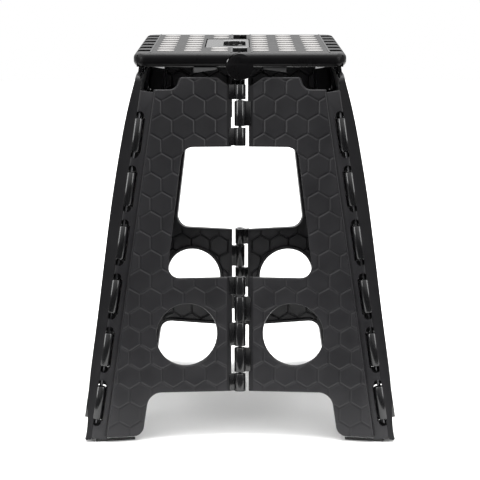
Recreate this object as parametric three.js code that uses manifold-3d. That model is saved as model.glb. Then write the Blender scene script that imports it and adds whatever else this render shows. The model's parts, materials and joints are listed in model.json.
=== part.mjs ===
// Folding step stool: two hinged platform halves on two leg panels, tied together at front and rear
// by panels that fold inwards along a centre hinge. Millimetres, +Z up, origin on the floor under the
// middle of the platform, +Y towards the rear.
import * as THREE from "three";
import { mergeVertices } from "three/addons/utils/BufferGeometryUtils.js";
import Module from "manifold-3d";

const wasm = await Module();
wasm.setup();

// ---------------------------------------------------------------- driving dimensions

const HEIGHT = 400;
const PLATFORM_WIDTH = 220;
const PLATFORM_DEPTH = 288;
const PLATFORM_THICK = 15;
const PLATFORM_CORNER = 14;
const PLATFORM_BULLNOSE = 6;
const DECK_SKIN = 3;
const RIM_WALL = 4.5;
const CENTRE_VALLEY = 7.6;
const CENTRE_WALL = 3.4;

// Hinge axes. The corner and centre hinges of a front or rear pair all meet at one apex high above
// the platform, which is what lets the tapered panels fold.
const APEX_HEIGHT = 1051;
const CENTRE_AXIS_Y_AT_FLOOR = 165;
const CENTRE_AXIS_SLOPE = 0.08;
const CORNER_AXIS_X_AT_FLOOR = 152.7;
const CORNER_AXIS_PLAN_ANGLE = 8.4;
const FACE_PLAN_ANGLE = 12.4;
const PLATFORM_AXIS_Z = 385.5;
const LEG_AXIS_X = 101;
const LEG_AXIS_Z = 390;

// Panels
const PANEL_TAB_TOP = 375.6;
const PANEL_SHOULDER = 363;
const WINDOW_TOP = 303.5;
const WINDOW_BOTTOM = 167.4;
const PANEL_BOTTOM = 47;
const SPY_HOLE_RADIUS = 32.5;
const PANEL_SKIN = 2.5;
const PANEL_FLANGE = 3;
const FOOT_Z = 3;

// Hinge hardware
const KNUCKLE_COUNT = 6;
const KNUCKLE_TOP_Z = 317;
const KNUCKLE_PITCH = 55.3;
const KNUCKLE_LENGTH = 35;
const KNUCKLE_RADIUS = 4.8;
const NOTCH_LENGTH = 42;
const NOTCH_DEPTH = 11.5;
const CORNER_STRIP = 11.5;
const CORNER_RADIUS = 5;
const CORNER_HALF_THICK = 4.6;
const PIN_RADIUS = 1.75;
const RUNNING_GAP = 0.5;
const BARREL_RADIUS = 6;
const BARREL_SLIT = 8.8;
const PIVOT_PLAY = 2.7;
const LEG_KNUCKLE_PITCH = 44;
const LEG_KNUCKLE_WIDTH = 20;
const LEG_KNUCKLE_RADIUS = 5;
const BOSS_RADIUS = 14;

// Centre hinge barrels of a front or rear pair, as [low z, high z, side that carries it].
const UPPER_BARRELS = [
  [351.5, 367, "near"],
  [324, 349.8, "far"],
  [303.5, 322.3, "near"],
];
const LOWER_BARRELS = [
  [148.4, 167.4, "near"],
  [121, 146.7, "far"],
  [94.7, 119.3, "near"],
  [67.4, 93, "far"],
  [PANEL_BOTTOM, 65.7, "near"],
];

// Grip dots
const DOT_RADIUS = 9.2;
const DOT_COLUMNS = [21.5, 49.5, 77.5];
const DOT_ROWS = 8;
const DOT_PITCH = 32;
const DOT_PROUD = 0.6;
const WEB_WIDTH = 8;

// Carrying handle
const HANDLE_LEFT = -37;
const HANDLE_RIGHT = 10;
const HANDLE_HALF = 65;
const HANDLE_THICK = 4.6;
const FINGER_LEFT = -18;
const FINGER_RIGHT = 6;
const FINGER_HALF = 42;
const HANDLE_AXIS_X = -33.5;

const COLOURS = {
  body: [0x3a3a3d, 0.5, 0],
  leg: [0x404043, 0.5, 0],
  grip: [0xcdccc8, 0.85, 0],
  handle: [0x4a4a4c, 0.25, 0],
  steel: [0x9a9a9c, 0.35, 1],
  rubber: [0x232325, 0.9, 0],
  stop: [0xb4b3b0, 0.7, 0],
};

// ---------------------------------------------------------------- solids

const FAR = 600;

function solid(geometry, matrix) {
  const plain = geometry.index ? geometry.toNonIndexed() : geometry.clone();
  plain.deleteAttribute("normal");
  plain.deleteAttribute("uv");
  if (matrix) plain.applyMatrix4(matrix);
  const merged = mergeVertices(plain, 1e-4);
  return new wasm.Manifold(
    new wasm.Mesh({
      numProp: 3,
      vertProperties: new Float32Array(merged.attributes.position.array),
      triVerts: new Uint32Array(merged.index.array),
    }),
  );
}

function geometryOf(manifold) {
  const mesh = manifold.getMesh();
  const geometry = new THREE.BufferGeometry();
  geometry.setAttribute("position", new THREE.BufferAttribute(mesh.vertProperties, 3));
  geometry.setIndex(new THREE.BufferAttribute(mesh.triVerts, 1));
  return geometry;
}

function box(x0, x1, y0, y1, z0, z1, matrix) {
  const geometry = new THREE.BoxGeometry(x1 - x0, y1 - y0, z1 - z0);
  geometry.translate((x0 + x1) / 2, (y0 + y1) / 2, (z0 + z1) / 2);
  return solid(geometry, matrix);
}

function rod(from, to, radius, segments = 16) {
  const along = new THREE.Vector3().subVectors(to, from);
  const geometry = new THREE.CylinderGeometry(radius, radius, along.length(), segments);
  const turn = new THREE.Quaternion().setFromUnitVectors(
    new THREE.Vector3(0, 1, 0),
    along.clone().normalize(),
  );
  const middle = new THREE.Vector3().addVectors(from, to).multiplyScalar(0.5);
  return solid(geometry, new THREE.Matrix4().compose(middle, turn, new THREE.Vector3(1, 1, 1)));
}

function rodY(x, z, y0, y1, radius, segments) {
  return rod(new THREE.Vector3(x, y0, z), new THREE.Vector3(x, y1, z), radius, segments);
}

function joined(parts) {
  return parts.reduce((sum, part) => sum.add(part));
}

// Traces a closed outline through corners [x, y, radius], each corner rounded by its radius.
function roundedShape(corners, steps = 3) {
  const points = [];
  corners.forEach(([x, y, radius], i) => {
    const [px, py] = corners[(i + corners.length - 1) % corners.length];
    const [nx, ny] = corners[(i + 1) % corners.length];
    const corner = new THREE.Vector2(x, y);
    const back = new THREE.Vector2(px - x, py - y).normalize();
    const ahead = new THREE.Vector2(nx - x, ny - y).normalize();
    if (radius < 0.2) {
      points.push(corner);
      return;
    }
    const half = Math.acos(THREE.MathUtils.clamp(back.dot(ahead), -1, 1)) / 2;
    const reach = radius / Math.tan(half);
    const start = corner.clone().addScaledVector(back, reach);
    const end = corner.clone().addScaledVector(ahead, reach);
    const centre = corner
      .clone()
      .addScaledVector(back.clone().add(ahead).normalize(), radius / Math.sin(half));
    const from = Math.atan2(start.y - centre.y, start.x - centre.x);
    let sweep = Math.atan2(end.y - centre.y, end.x - centre.x) - from;
    if (sweep > Math.PI) sweep -= 2 * Math.PI;
    if (sweep < -Math.PI) sweep += 2 * Math.PI;
    for (let step = 0; step <= steps; step++) {
      const angle = from + (sweep * step) / steps;
      points.push(
        new THREE.Vector2(
          centre.x + radius * Math.cos(angle),
          centre.y + radius * Math.sin(angle),
        ),
      );
    }
  });
  return new THREE.Shape(points);
}

// Moves every edge of a counter-clockwise outline inwards, keeping the rounded corners concentric.
function inset(corners, distance) {
  const count = corners.length;
  const edges = corners.map(([x, y], i) => {
    const [nx, ny] = corners[(i + 1) % count];
    const length = Math.hypot(nx - x, ny - y);
    const normal = [-(ny - y) / length, (nx - x) / length];
    return { x: x + normal[0] * distance, y: y + normal[1] * distance, dx: nx - x, dy: ny - y };
  });
  return corners.map(([, , radius], i) => {
    const a = edges[(i + count - 1) % count];
    const b = edges[i];
    const cross = a.dx * b.dy - a.dy * b.dx;
    const along = ((b.x - a.x) * b.dy - (b.y - a.y) * b.dx) / cross;
    const inner = cross > 0 ? radius - distance : radius + distance;
    return [a.x + a.dx * along, a.y + a.dy * along, Math.max(inner, 0)];
  });
}

function prism(shape, low, high, matrix) {
  const geometry = new THREE.ExtrudeGeometry(shape, {
    depth: high - low,
    bevelEnabled: false,
    curveSegments: 8,
  });
  geometry.translate(0, 0, low);
  return solid(geometry, matrix);
}

// A hinge knuckle and its arm as one profile: a round nose about the origin, running into an arm that
// reaches along +X between y = low and y = high, with an optional bore on the hinge axis.
function knuckleShape(radius, steps, reach, low, high, bore = 0, boreSteps = 6) {
  const points = [];
  const start = Math.asin(high / radius);
  const sweep = 2 * Math.PI + Math.asin(low / radius) - start;
  for (let step = 0; step <= steps; step++) {
    const angle = start + (sweep * step) / steps;
    points.push(new THREE.Vector2(radius * Math.cos(angle), radius * Math.sin(angle)));
  }
  points.push(new THREE.Vector2(reach, low), new THREE.Vector2(reach, high));
  const shape = new THREE.Shape(points);
  if (bore > 0) {
    const hole = Array.from({ length: boreSteps }, (_, i) => {
      const angle = (-2 * Math.PI * i) / boreSteps;
      return new THREE.Vector2(bore * Math.cos(angle), bore * Math.sin(angle));
    });
    shape.holes.push(new THREE.Path(hole));
  }
  return shape;
}

// ---------------------------------------------------------------- hinge axes and frames (right front)

const radians = THREE.MathUtils.degToRad;
const apex = new THREE.Vector3(
  0,
  -CENTRE_AXIS_Y_AT_FLOOR + CENTRE_AXIS_SLOPE * APEX_HEIGHT,
  APEX_HEIGHT,
);
const centreFloor = new THREE.Vector3(0, -CENTRE_AXIS_Y_AT_FLOOR, 0);
const cornerFloor = new THREE.Vector3(
  CORNER_AXIS_X_AT_FLOOR,
  -CENTRE_AXIS_Y_AT_FLOOR - CORNER_AXIS_X_AT_FLOOR * Math.tan(radians(CORNER_AXIS_PLAN_ANGLE)),
  0,
);
const centreUp = new THREE.Vector3().subVectors(apex, centreFloor).normalize();
const cornerUp = new THREE.Vector3().subVectors(apex, cornerFloor).normalize();

function atHeight(floorPoint, z) {
  return floorPoint.clone().lerp(apex, z / APEX_HEIGHT);
}

// Panel frame: s runs from the centre hinge towards the corner in the front face, t up the centre
// hinge axis, n out of the front face.
const facePlan = new THREE.Vector3(
  Math.cos(radians(FACE_PLAN_ANGLE)),
  -Math.sin(radians(FACE_PLAN_ANGLE)),
  0,
);
const faceOut = new THREE.Vector3().crossVectors(facePlan, centreUp).normalize();
const faceAlong = new THREE.Vector3().crossVectors(centreUp, faceOut);
const panelFrame = new THREE.Matrix4().makeBasis(faceAlong, centreUp, faceOut).setPosition(centreFloor);
const toPanel = panelFrame.clone().invert();
const cornerInPanel = cornerFloor.clone().applyMatrix4(toPanel);
const apexInPanel = apex.clone().applyMatrix4(toPanel);
const CORNER_TAPER = (apexInPanel.x - cornerInPanel.x) / (apexInPanel.y - cornerInPanel.y);

// Distance s of the corner hinge axis from the centre hinge axis, at height t up the panel.
function cornerAt(t) {
  return cornerInPanel.x + (t - cornerInPanel.y) * CORNER_TAPER;
}

// How far the corner hinge axis lies behind the front face at a height z.
function axisDepth(z) {
  return -atHeight(cornerFloor, z).applyMatrix4(toPanel).z;
}

// Leg frame: o out of the leg's hinge plane, y along the stool's depth, u up the hinge plane.
const legTilt = Math.atan2(CORNER_AXIS_X_AT_FLOOR, APEX_HEIGHT);
const legOut = new THREE.Vector3(Math.cos(legTilt), 0, Math.sin(legTilt));
const legUp = new THREE.Vector3(-Math.sin(legTilt), 0, Math.cos(legTilt));
const legBase = new THREE.Vector3(CORNER_AXIS_X_AT_FLOOR, 0, 0);
const depthAxis = new THREE.Vector3(0, 1, 0);
const legFrame = new THREE.Matrix4().makeBasis(legOut, depthAxis, legUp).setPosition(legBase);
const legFace = new THREE.Matrix4().makeBasis(depthAxis, legUp, legOut).setPosition(legBase);
const legSide = new THREE.Matrix4()
  .makeBasis(legOut, legUp, depthAxis.clone().negate())
  .setPosition(legBase);
const legAxis = new THREE.Vector3(LEG_AXIS_X, 0, LEG_AXIS_Z);
const legAxisInLeg = legAxis.clone().applyMatrix4(legFrame.clone().invert());

// Half depth of the leg's hinge axes at a distance u up the leg.
function legHalfDepth(u) {
  return THREE.MathUtils.lerp(-cornerFloor.y, -apex.y, (u * Math.cos(legTilt)) / APEX_HEIGHT);
}

const knuckleHeights = Array.from(
  { length: KNUCKLE_COUNT },
  (_, i) => KNUCKLE_TOP_Z - i * KNUCKLE_PITCH,
);

function cornerRod(z0, z1, radius, segments) {
  return rod(atHeight(cornerFloor, z0), atHeight(cornerFloor, z1), radius, segments);
}

// ---------------------------------------------------------------- front and rear panels

const TAB_OUTER = 63;
const TAB_INNER = 23;
const FOOT_INNER_BOTTOM = 113;

function panelOutline() {
  return [
    [BARREL_SLIT, PANEL_BOTTOM, 0],
    [FOOT_INNER_BOTTOM - 16, PANEL_BOTTOM + 1.5, 14],
    [FOOT_INNER_BOTTOM - 8, 0, 0],
    [cornerAt(0), 0, 0],
    [cornerAt(PANEL_SHOULDER), PANEL_SHOULDER, 0],
    [TAB_OUTER + 8, PANEL_SHOULDER, 6],
    [TAB_OUTER, PANEL_TAB_TOP, 4],
    [TAB_INNER, PANEL_TAB_TOP, 5],
    [BARREL_SLIT + 4, 367, 4],
    [BARREL_SLIT, 367, 0],
    [BARREL_SLIT, WINDOW_TOP, 0],
    [60, WINDOW_TOP, 14],
    [77, WINDOW_BOTTOM, 14],
    [BARREL_SLIT, WINDOW_BOTTOM, 0],
  ];
}

const SPY_HOLE_S = 56;
const SPY_HOLE_T = 108;

function spyHole(radius) {
  return new THREE.Shape().absarc(SPY_HOLE_S, SPY_HOLE_T, radius, 0, 2 * Math.PI, false);
}

// The half space behind a plane that starts at depth n on the centre hinge axis and slopes back
// towards the corner; with front set, the half space before it.
function behind(n, slope, front = false) {
  const turned = new THREE.Matrix4()
    .makeTranslation(0, 0, n)
    .multiply(new THREE.Matrix4().makeRotationY(Math.atan(slope)));
  const [low, high] = front ? [0, FAR] : [-FAR, 0];
  return box(-FAR, FAR, -FAR, FAR, low, high, panelFrame.clone().multiply(turned));
}

// A strip of the panel along its corner hinge axis, from the foot to the shoulder.
function cornerBand(width, reach = 0, front = -0.5) {
  return prism(
    roundedShape([
      [cornerAt(0) - width, 0, 0],
      [cornerAt(0) + reach, 0, 0],
      [cornerAt(PANEL_SHOULDER) + reach, PANEL_SHOULDER, 0],
      [cornerAt(PANEL_SHOULDER) - width, PANEL_SHOULDER, 0],
    ]),
    -40,
    front,
    panelFrame,
  );
}

// Frame whose Z runs up a hinge axis at one of its points, with X as near as can be to a direction.
function axisFrame(point, up, towards) {
  const x = towards.clone().addScaledVector(up, -towards.dot(up)).normalize();
  const y = new THREE.Vector3().crossVectors(up, x);
  return new THREE.Matrix4().makeBasis(x, y, up).setPosition(point);
}

function notch(z) {
  const frame = axisFrame(atHeight(cornerFloor, z), cornerUp, faceAlong);
  return box(-NOTCH_DEPTH, 30, -30, 30, -NOTCH_LENGTH / 2, NOTCH_LENGTH / 2, frame);
}

function barrelRange(barrels, side) {
  return barrels.filter((barrel) => barrel[2] === side);
}

function centrePoint(z) {
  return atHeight(centreFloor, z);
}

// A barrel of the centre hinge between two heights, with the profile's Y pointing rearwards.
function centreBarrel(shape, low, high) {
  const length = centrePoint(low).distanceTo(centrePoint(high));
  return prism(shape, 0, length, axisFrame(centrePoint(low), centreUp, faceAlong));
}

// The front right panel when side is "far", or the mirror image of the front left one when "near".
function panel(side) {
  const outline = panelOutline();
  let plate = prism(roundedShape(outline), -40, -0.5, panelFrame);
  const axisSlope = axisDepth(0) / cornerAt(0);
  const band = cornerBand(CORNER_STRIP + PANEL_FLANGE);
  const corner = band.add(cornerRod(0, PANEL_SHOULDER, CORNER_RADIUS, 12));
  const hingeBack = behind(-CORNER_HALF_THICK, axisSlope);
  const strip = cornerBand(CORNER_STRIP, 20, 10);
  const stripFront = behind(CORNER_HALF_THICK, axisSlope, true).intersect(strip);
  const pocket = prism(roundedShape(inset(outline, PANEL_FLANGE)), -60, -0.5 - PANEL_SKIN, panelFrame)
    .subtract(band)
    .subtract(prism(spyHole(SPY_HOLE_RADIUS + PANEL_FLANGE), -60, 0, panelFrame));
  plate = plate.subtract(behind(-6, 0.03)).subtract(pocket).add(corner.subtract(hingeBack));
  plate = plate.subtract(stripFront);
  plate = plate.subtract(prism(spyHole(SPY_HOLE_RADIUS), -60, 10, panelFrame));
  plate = plate.subtract(joined(knuckleHeights.map(notch)));
  plate = plate.subtract(cornerRod(18, 341, PIN_RADIUS + RUNNING_GAP, 6));
  // The foot is thinner below the corner hinge, so that it folds flat against the leg.
  const footCut = panelFrame
    .clone()
    .multiply(new THREE.Matrix4().makeTranslation(0, 0, 1 - axisDepth(0)));
  plate = plate.subtract(box(-FAR, FAR, -30, 17, -40, 0, footCut));
  plate = plate.subtract(box(-FAR, FAR, -FAR, FAR, -40, FOOT_Z));

  // Open pivot: the far side's barrels hold the pin with play, and its upper one is an open hook.
  const fitting = side === "near";
  const bore = PIN_RADIUS + (fitting ? RUNNING_GAP : PIVOT_PLAY);
  const barrel = knuckleShape(BARREL_RADIUS, 9, BARREL_SLIT + 1, 0.5, 5.6, bore, fitting ? 6 : 8);
  for (const [low, high] of barrelRange(LOWER_BARRELS, side)) {
    plate = plate.add(centreBarrel(barrel, low, high));
  }
  const upper = fitting ? barrel : knuckleShape(BARREL_RADIUS, 9, BARREL_SLIT + 1, 0.5, 5.6);
  for (const [low, high] of barrelRange(UPPER_BARRELS, side)) {
    plate = plate.add(centreBarrel(upper, low, high));
  }
  if (fitting) return plate;
  const reach = PIN_RADIUS + RUNNING_GAP;
  return plate.subtract(box(-9, reach, 320, 354, -reach, 9, panelFrame));
}

function centrePin(z0, z1) {
  return rod(centrePoint(z0), centrePoint(z1), PIN_RADIUS, 6);
}

function cornerPin() {
  return cornerRod(19, 340, PIN_RADIUS, 6);
}

function panelPad() {
  const padFront = CORNER_HALF_THICK - axisDepth(0) - 0.5;
  const inner = FOOT_INNER_BOTTOM - 4;
  const outer = cornerAt(0) - 1;
  const depth = axisDepth(0) - 2;
  const pad = prism(
    roundedShape([
      [inner, -12, 0],
      [outer, -12, 0],
      [outer, 12, 0],
      [inner, 12, 0],
    ]),
    -depth,
    padFront,
    panelFrame,
  );
  return pad.intersect(box(-FAR, FAR, -FAR, FAR, 0, FOOT_Z - 0.3));
}

// ---------------------------------------------------------------- leg panel (right)

const LEG_TOP = 381;
const LEG_INNER = 5.6;
const LEG_SKIN = 2.8;
const LEG_EDGE = 4.6;
const LEG_FLANGE = 9;
const LEG_BULGE = [
  [9.4, -6],
  [8.2, 15],
  [12.4, 62],
  [13.6, 140],
  [15.4, 240],
  [14.4, 308],
  [12.2, 348],
  [8.6, LEG_TOP],
];

function legProfile(outer, inner) {
  const shape = new THREE.Shape();
  const [start, ...rest] = LEG_BULGE.map(([o, u]) => new THREE.Vector2(o + outer, u));
  shape.moveTo(start.x, start.y);
  shape.splineThru(rest);
  shape.lineTo(inner, LEG_TOP);
  shape.lineTo(inner, LEG_BULGE[0][1]);
  const points = shape.getPoints(1);
  return new THREE.Shape(points);
}

function legOutline() {
  const edge = (u) => legHalfDepth(u) + LEG_EDGE;
  const foot = 136;
  return [
    [-edge(-6), -6, 0],
    [-foot, -6, 0],
    [-foot + 12, 44, 20],
    [foot - 12, 44, 20],
    [foot, -6, 0],
    [edge(-6), -6, 0],
    [edge(LEG_TOP), LEG_TOP, 8],
    [-edge(LEG_TOP), LEG_TOP, 8],
  ];
}

function legWindow(margin) {
  return roundedShape(
    inset(
      [
        [-88, 182, 18],
        [88, 182, 18],
        [78, 296, 18],
        [-78, 296, 18],
      ],
      -margin,
    ),
  );
}

function leg() {
  const outline = legOutline();
  let body = prism(legProfile(0, LEG_INNER), -FAR / 2, FAR / 2, legSide);
  body = body.intersect(prism(roundedShape(outline), -5, 40, legFace));
  const hollow = prism(legProfile(-LEG_SKIN, -5), -FAR / 2, FAR / 2, legSide)
    .intersect(prism(roundedShape(inset(outline, LEG_FLANGE)), -10, 40, legFace))
    .subtract(prism(legWindow(PANEL_FLANGE), -10, 40, legFace));
  body = body.subtract(hollow).subtract(prism(legWindow(0), -10, 40, legFace));
  const armHalf = KNUCKLE_RADIUS - 0.6;
  const knuckle = knuckleShape(KNUCKLE_RADIUS, 6, 11.5, -armHalf, armHalf, PIN_RADIUS + RUNNING_GAP);
  for (const mirror of [1, -1]) {
    const flip = new THREE.Matrix4().makeScale(1, mirror, 1);
    const at = (z) => atHeight(cornerFloor, z).applyMatrix4(flip);
    body = body.subtract(rod(at(-12), at(395), CORNER_RADIUS + 0.8, 10));
    for (const z of knuckleHeights) {
      const up = new THREE.Vector3().subVectors(at(z + 1), at(z)).normalize();
      const frame = axisFrame(at(z), up, legOut);
      body = body.add(prism(knuckle, -KNUCKLE_LENGTH / 2, KNUCKLE_LENGTH / 2, frame));
    }
  }
  const topReach = legAxisInLeg.z - LEG_TOP + 6;
  const topLow = legAxisInLeg.x - 8.4;
  const topHigh = legAxisInLeg.x - 4.4;
  const topBore = PIN_RADIUS + RUNNING_GAP;
  const topKnuckle = knuckleShape(LEG_KNUCKLE_RADIUS, 7, topReach, topLow, topHigh, topBore);
  const down = legUp.clone().negate();
  for (const y of legKnuckleRows) {
    const frame = axisFrame(new THREE.Vector3(LEG_AXIS_X, y, LEG_AXIS_Z), depthAxis, down);
    body = body.add(prism(topKnuckle, -LEG_KNUCKLE_WIDTH / 2, LEG_KNUCKLE_WIDTH / 2, frame));
  }
  return body.subtract(box(-FAR, FAR, -FAR, FAR, -40, FOOT_Z));
}

const legKnuckleRows = Array.from({ length: 6 }, (_, i) => (i - 2.5) * LEG_KNUCKLE_PITCH);

function legPad() {
  const outer = legHalfDepth(0) - 2;
  const pad = prism(
    roundedShape([
      [-outer, -10, 0],
      [-141, -10, 0],
      [-141, 12, 0],
      [-outer, 12, 0],
    ]),
    LEG_INNER + 0.4,
    8.2,
    legFace,
  );
  return pad.intersect(box(-FAR, FAR, -FAR, FAR, 0, FOOT_Z - 0.3));
}

// ---------------------------------------------------------------- platform

const CENTRE_KNUCKLE_ENDS = [
  [-129, -108.6],
  [-108, -87.6],
  [-87, -66.6],
  [-66, -45.6],
  [45.6, 66],
  [66.6, 87],
  [87.6, 108],
  [108.6, 129],
];

function platformBlank() {
  const halfWidth = PLATFORM_WIDTH / 2 - PLATFORM_BULLNOSE;
  const halfDepth = PLATFORM_DEPTH / 2 - PLATFORM_BULLNOSE;
  const radius = PLATFORM_CORNER - PLATFORM_BULLNOSE;
  const shape = roundedShape([
    [-halfWidth, -halfDepth, radius],
    [halfWidth, -halfDepth, radius],
    [halfWidth, halfDepth, radius],
    [-halfWidth, halfDepth, radius],
  ]);
  const geometry = new THREE.ExtrudeGeometry(shape, {
    depth: PLATFORM_THICK - 2 * PLATFORM_BULLNOSE,
    bevelSize: PLATFORM_BULLNOSE,
    bevelThickness: PLATFORM_BULLNOSE,
    bevelSegments: 2,
  });
  geometry.translate(0, 0, HEIGHT - PLATFORM_THICK + PLATFORM_BULLNOSE);
  return solid(geometry);
}

function dotPlaces(skipHandle) {
  const places = [];
  for (const x of DOT_COLUMNS) {
    for (let row = 0; row < DOT_ROWS; row++) {
      const y = (row - (DOT_ROWS - 1) / 2) * DOT_PITCH;
      const underHandle = x < -HANDLE_LEFT && Math.abs(y) < HANDLE_HALF + DOT_RADIUS;
      if (!(skipHandle && underHandle)) places.push([x, y]);
    }
  }
  return places;
}

function disc(x, y, z0, z1, radius) {
  const from = new THREE.Vector3(x, y, z0);
  return rod(from, new THREE.Vector3(x, y, z1), radius, 8);
}

// The right half, or the mirror image of the left half, which carries the handle.
function platform(withHandle) {
  const under = HEIGHT - PLATFORM_THICK;
  const skinZ = HEIGHT - DECK_SKIN;
  const halfDepth = PLATFORM_DEPTH / 2;
  const halfWidth = PLATFORM_WIDTH / 2;
  const wallEnd = CENTRE_VALLEY + CENTRE_WALL;
  const innerX = halfWidth - RIM_WALL;
  const innerY = halfDepth - RIM_WALL;
  let body = platformBlank();
  body = body.intersect(box(CENTRE_VALLEY, FAR, -FAR, FAR, 0, FAR));
  body = body.subtract(
    prism(
      roundedShape([
        [wallEnd, -innerY, 2],
        [innerX, -innerY, 9],
        [innerX, innerY, 9],
        [wallEnd, innerY, 2],
      ]),
      under - 5,
      skinZ,
    ),
  );
  body = body.add(box(93, innerX + 1, -innerY, innerY, under + 0.4, skinZ + 0.5));

  // Rim ends reach in to the centre line at front and rear, above the hinge axis.
  for (const sign of [-1, 1]) {
    const ends = [sign * halfDepth, sign * (halfDepth - 12)].sort((a, b) => a - b);
    const reach = platformBlank().intersect(box(0.4, wallEnd, ends[0], ends[1], 0, FAR));
    body = body.add(reach);
    const hasBoss = withHandle ? sign > 0 : sign < 0;
    const bossLow = sign > 0 ? halfDepth - 12 : -halfDepth + 0.3;
    const bossHigh = sign > 0 ? halfDepth - 0.3 : -halfDepth + 12;
    if (hasBoss) {
      body = body.add(rodY(0, PLATFORM_AXIS_Z, bossLow, bossHigh, BOSS_RADIUS, 24));
    } else {
      body = body.subtract(
        rodY(0, PLATFORM_AXIS_Z, bossLow - 0.8, bossHigh + 0.8, BOSS_RADIUS + 0.6, 24),
      );
    }
  }

  CENTRE_KNUCKLE_ENDS.forEach(([low, high], i) => {
    const own = i % 2 === (withHandle ? 1 : 0);
    if (!own) return;
    body = body.add(rodY(0, PLATFORM_AXIS_Z, low, high, BARREL_RADIUS, 12));
    body = body.add(
      box(0, wallEnd, low, high, PLATFORM_AXIS_Z + 0.3, PLATFORM_AXIS_Z + 5.2),
    );
  });
  body = body.subtract(rodY(0, PLATFORM_AXIS_Z, -134, 134, PIN_RADIUS + RUNNING_GAP, 6));

  for (const y of legKnuckleRows) {
    const half = LEG_KNUCKLE_WIDTH / 2 + 1;
    body = body.subtract(box(93.6, 107, y - half, y + half, under - 2, HEIGHT + 2));
    body = body.subtract(box(106, 112, y - half, y + half, under - 2, HEIGHT - 5.2));
  }
  body = body.subtract(rodY(LEG_AXIS_X, LEG_AXIS_Z, -134, 134, PIN_RADIUS + RUNNING_GAP, 6));

  for (const [x, y] of dotPlaces(withHandle)) {
    body = body.subtract(disc(x, y, skinZ - 1, HEIGHT + 2, DOT_RADIUS + 0.3));
  }

  const pocketZ = HEIGHT - HANDLE_THICK - 0.6;
  if (!withHandle) {
    const end = HANDLE_HALF + 0.8;
    return body.subtract(box(0, HANDLE_RIGHT + 0.6, -end, end, pocketZ, HEIGHT + 2));
  }
  const pocketEnd = HANDLE_HALF + 0.8;
  const pocketX = -HANDLE_LEFT + 0.8;
  body = body.add(
    box(wallEnd - 1, pocketX + 2, -pocketEnd - 3, pocketEnd + 3, pocketZ - 4, skinZ + 0.5),
  );
  body = body.subtract(box(0, pocketX, -pocketEnd, pocketEnd, pocketZ, HEIGHT + 2));
  body = body.subtract(box(0, -FINGER_LEFT + 1, -FINGER_HALF - 1, FINGER_HALF + 1, under - 2, HEIGHT + 2));
  const axisZ = HEIGHT - HANDLE_THICK / 2 - 0.2;
  // Room under the pivot for the handle's short end as it swings up.
  body = body.subtract(
    box(-HANDLE_AXIS_X - 4.9, pocketX, -pocketEnd, pocketEnd, axisZ - 4.8, pocketZ + 1),
  );
  return body.subtract(
    rodY(-HANDLE_AXIS_X, axisZ, -pocketEnd - 7, pocketEnd + 7, HANDLE_PIN_RADIUS + RUNNING_GAP, 6),
  );
}

const HANDLE_PIN_RADIUS = 1.1;

function gripInsert(skipHandle) {
  const skinZ = HEIGHT - DECK_SKIN;
  const webZ = skinZ - 1.7;
  const places = dotPlaces(skipHandle);
  const half = WEB_WIDTH / 2;
  let insert = joined(
    places.map(([x, y]) => disc(x, y, webZ, HEIGHT + DOT_PROUD, DOT_RADIUS)),
  );
  const span = ((DOT_ROWS - 1) / 2) * DOT_PITCH;
  for (const x of DOT_COLUMNS) {
    let web = box(x - half, x + half, -span, span, webZ, skinZ - 0.3);
    if (skipHandle && x < -HANDLE_LEFT) {
      web = web.subtract(box(0, FAR, DOT_PITCH - span, span - DOT_PITCH, 0, FAR));
    }
    insert = insert.add(web);
  }
  for (const y of [-span, span]) {
    const ends = [DOT_COLUMNS[0], DOT_COLUMNS.at(-1)];
    insert = insert.add(box(...ends, y - half, y + half, webZ, skinZ - 0.3));
  }
  return insert;
}

function handle() {
  const top = HEIGHT - 0.2;
  const bottom = top - HANDLE_THICK;
  const outer = [
    [HANDLE_LEFT, -HANDLE_HALF, 7],
    [HANDLE_RIGHT, -HANDLE_HALF, 5],
    [HANDLE_RIGHT, HANDLE_HALF, 5],
    [HANDLE_LEFT, HANDLE_HALF, 7],
  ];
  const hole = [
    [FINGER_LEFT, -FINGER_HALF, 10],
    [FINGER_RIGHT, -FINGER_HALF, 10],
    [FINGER_RIGHT, FINGER_HALF, 10],
    [FINGER_LEFT, FINGER_HALF, 10],
  ];
  const plate = prism(roundedShape(outer), bottom, top).subtract(
    prism(roundedShape(hole), bottom - 5, top + 5),
  );
  const axisZ = HEIGHT - HANDLE_THICK / 2 - 0.2;
  return plate.subtract(
    joined([
      rodY(HANDLE_AXIS_X, axisZ, -HANDLE_HALF - 2, -HANDLE_HALF + 8, HANDLE_PIN_RADIUS + RUNNING_GAP, 6),
      rodY(HANDLE_AXIS_X, axisZ, HANDLE_HALF - 8, HANDLE_HALF + 2, HANDLE_PIN_RADIUS + RUNNING_GAP, 6),
    ]),
  );
}

// Wedge-shaped rubber stop under the rim, which the panel's tab meets when the stool is opened.
function stop(y0, y1) {
  const under = HEIGHT - PLATFORM_THICK - 0.3;
  const shape = roundedShape([
    [24, under - 2.6, 0],
    [48, under - 5.6, 0],
    [48, under, 0],
    [24, under, 0],
  ]);
  const upright = new THREE.Matrix4()
    .makeBasis(new THREE.Vector3(1, 0, 0), new THREE.Vector3(0, 0, 1), new THREE.Vector3(0, -1, 0));
  return prism(shape, -y1, -y0, upright);
}

// ---------------------------------------------------------------- assembly

const root = new THREE.Group();

function flipped(geometry, x, y) {
  const copy = geometry.clone();
  copy.scale(x, y, 1);
  if (x * y < 0) {
    const index = copy.index.array;
    for (let i = 0; i < index.length; i += 3) {
      [index[i + 1], index[i + 2]] = [index[i + 2], index[i + 1]];
    }
  }
  return copy;
}

function addMesh(name, geometry, colour) {
  const [color, roughness, metalness] = COLOURS[colour];
  const material = new THREE.MeshStandardMaterial({ color, roughness, metalness });
  const mesh = new THREE.Mesh(geometry, material);
  mesh.name = name;
  root.add(mesh);
}

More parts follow.
